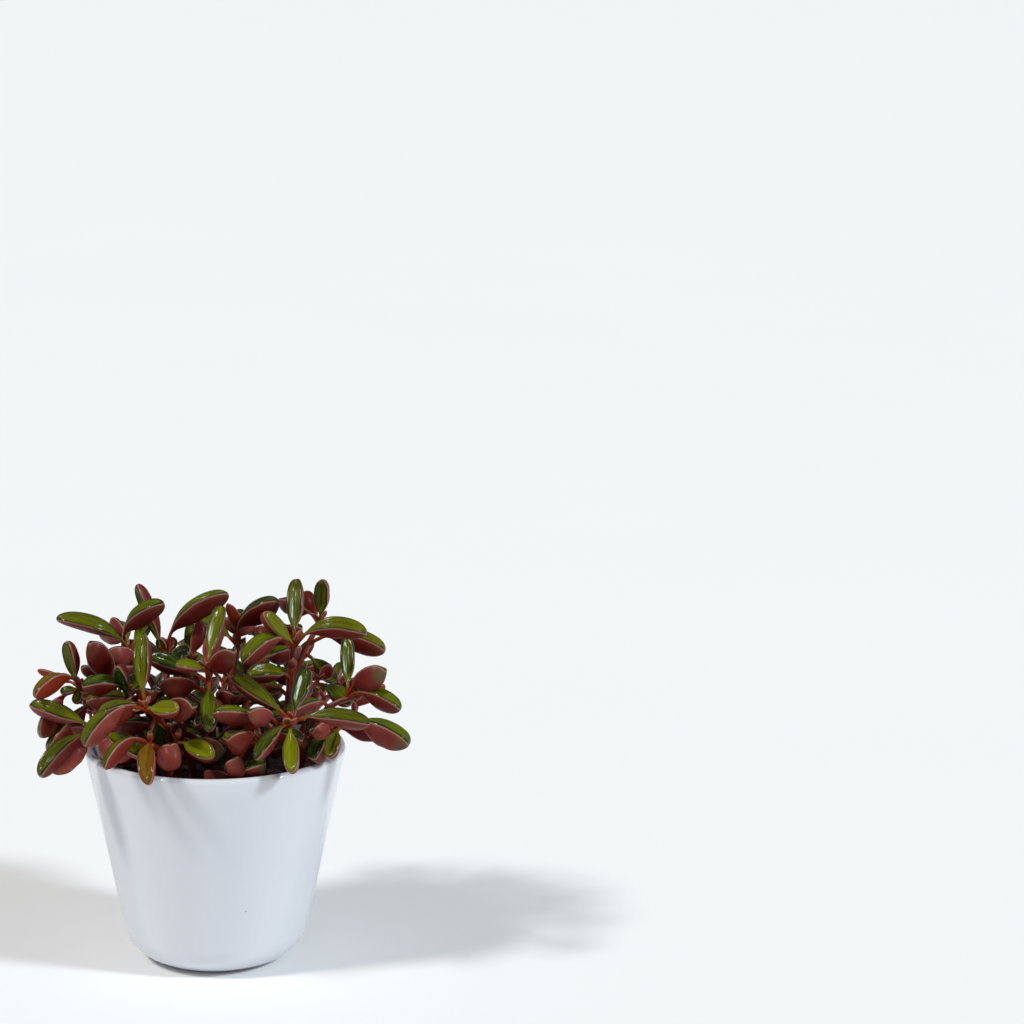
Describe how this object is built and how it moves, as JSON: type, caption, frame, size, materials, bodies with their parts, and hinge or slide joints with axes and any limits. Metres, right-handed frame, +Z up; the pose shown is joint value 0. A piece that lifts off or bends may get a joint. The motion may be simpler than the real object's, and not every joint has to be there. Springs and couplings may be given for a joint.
{
  "type": "potted houseplant",
  "caption": "Potted peperomia graveolens: upright red stems with boat-shaped leaves, green above and wine red below, in soil in a tapered white glazed pot.",
  "frame": {"origin": "middle of the planter's flat base, on the surface it stands on", "axes": "+Z up, -Y the side that the object is usually seen from, +X to the viewer's right"},
  "size_m": [0.141, 0.1272, 0.146],
  "materials": {
    "planter_glaze": "gloss",
    "potting_soil": "matte",
    "plant_tissue": "satin"
  },
  "bodies": {
    "root": {"planter": "planter_glaze", "soil": "potting_soil", "leafy_stem_left_tall": "plant_tissue", "leafy_stem_mid_left_tall": "plant_tissue", "leafy_stem_front_left": "plant_tissue", "leafy_stem_far_left": "plant_tissue", "leafy_stem_left_low": "plant_tissue", "leafy_stem_left_inner": "plant_tissue", "leafy_stem_front_mid": "plant_tissue", "leafy_stem_mid_inner": "plant_tissue", "leafy_stem_mid_tall": "plant_tissue", "leafy_stem_right_tall": "plant_tissue", "leafy_stem_right_back": "plant_tissue", "leafy_stem_far_right": "plant_tissue", "leafy_stem_right_inner": "plant_tissue", "leafy_stem_front_right": "plant_tissue", "leafy_stem_right_low": "plant_tissue", "leafy_stem_rim_left": "plant_tissue", "leafy_stem_rim_mid": "plant_tissue", "leafy_stem_rim_short": "plant_tissue", "leafy_stem_rim_right": "plant_tissue", "leafy_stem_mid_back": "plant_tissue", "leafy_stem_rim_centre": "plant_tissue", "leafy_stem_back_left": "plant_tissue", "leafy_stem_back_far_left": "plant_tissue", "leafy_stem_back_mid_left": "plant_tissue", "leafy_stem_back_mid": "plant_tissue", "leafy_stem_back_mid_right": "plant_tissue", "leafy_stem_back_right": "plant_tissue", "leafy_stem_back_far_right": "plant_tissue"}
  },
  "joints": []
}
